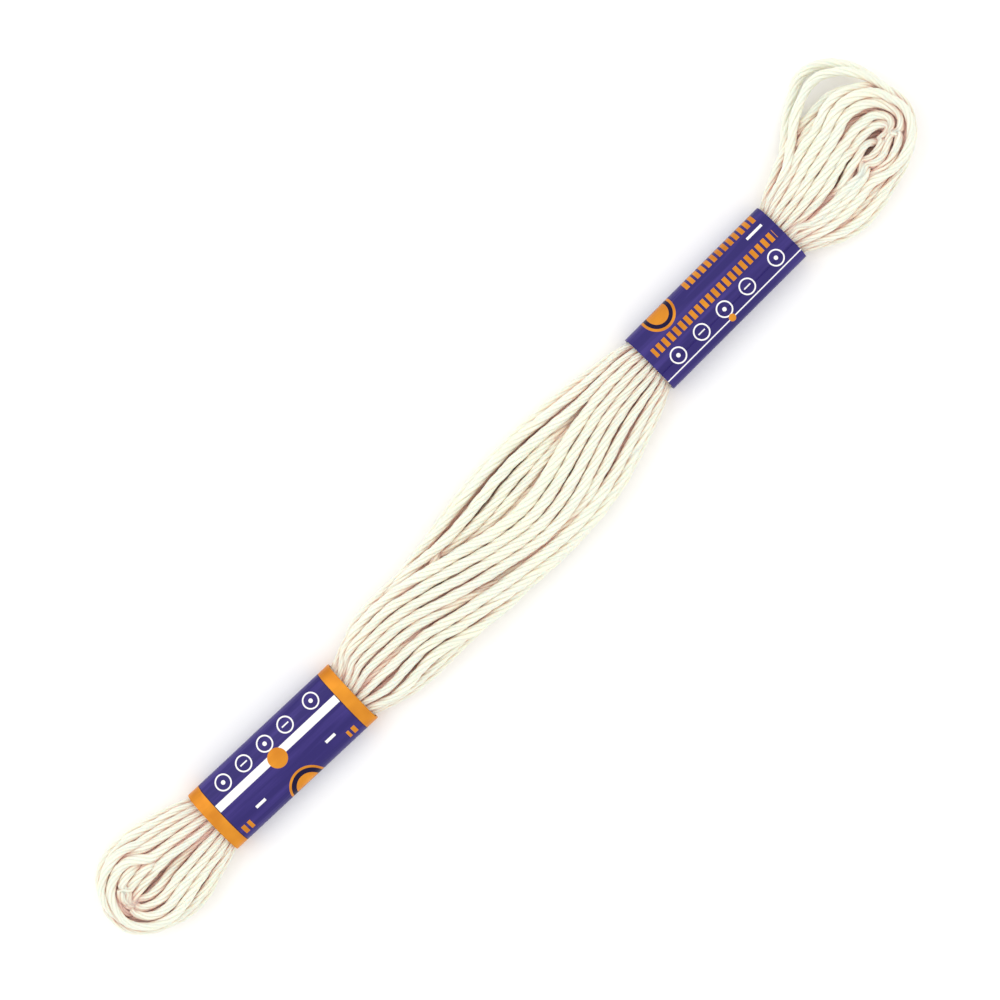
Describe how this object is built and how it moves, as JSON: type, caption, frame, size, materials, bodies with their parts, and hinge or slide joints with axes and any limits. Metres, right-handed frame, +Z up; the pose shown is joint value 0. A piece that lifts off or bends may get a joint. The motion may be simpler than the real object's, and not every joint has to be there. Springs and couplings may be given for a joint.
{
  "type": "hank of embroidery floss",
  "caption": "Slim hank of cream stranded cotton floss, lying flat, with a looped coil at each end, two loose turns, and two printed paper label bands.",
  "frame": {"origin": "middle of the hank's box at the surface that it lies on", "axes": "+X along the hank towards the end with the two loose turns, +Z up from the surface, +Y across the hank towards the side where the loose turns stand out"},
  "size_m": [0.1656, 0.026, 0.0074],
  "materials": {
    "floss": "satin",
    "label": "satin"
  },
  "bodies": {
    "root": {"floss-hank": "floss", "label-band-left": "label", "label-band-right": "label"}
  },
  "joints": []
}
